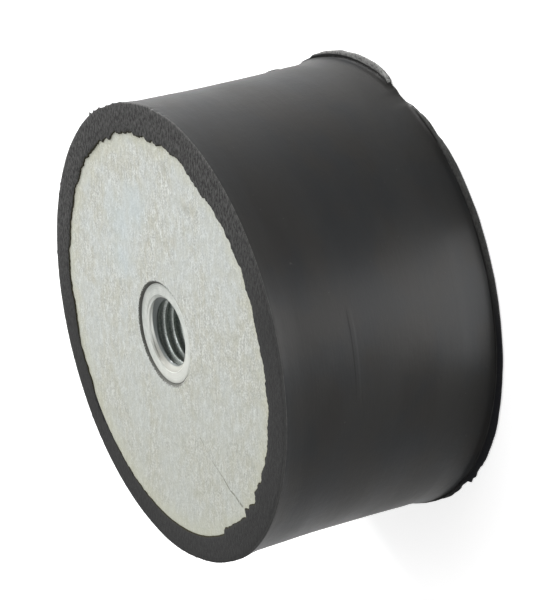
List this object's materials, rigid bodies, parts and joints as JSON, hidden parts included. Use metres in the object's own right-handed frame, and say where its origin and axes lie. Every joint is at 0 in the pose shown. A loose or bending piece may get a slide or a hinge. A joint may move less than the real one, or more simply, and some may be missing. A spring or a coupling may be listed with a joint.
{
  "type": "rubber-metal anti-vibration mount",
  "caption": "Waisted rubber cylinder bonded between steel end plates, with a tapped bush in the middle of each end.",
  "frame": {"origin": "centre of the rear end face, on the mount's axis", "axes": "+Z along the mount's axis, from the rear end face to the front end face"},
  "size_m": [0.1021, 0.1009, 0.05],
  "materials": {
    "rubber": "satin moulded rubber",
    "zinc_plate": "dull zinc plating",
    "zinc_bush": "turned and zinc plated"
  },
  "bodies": {
    "root": {"rubber_body": "rubber", "front_plate": "zinc_plate", "front_bush": "zinc_bush", "rear_plate": "zinc_plate", "rear_bush": "zinc_bush"}
  },
  "joints": []
}
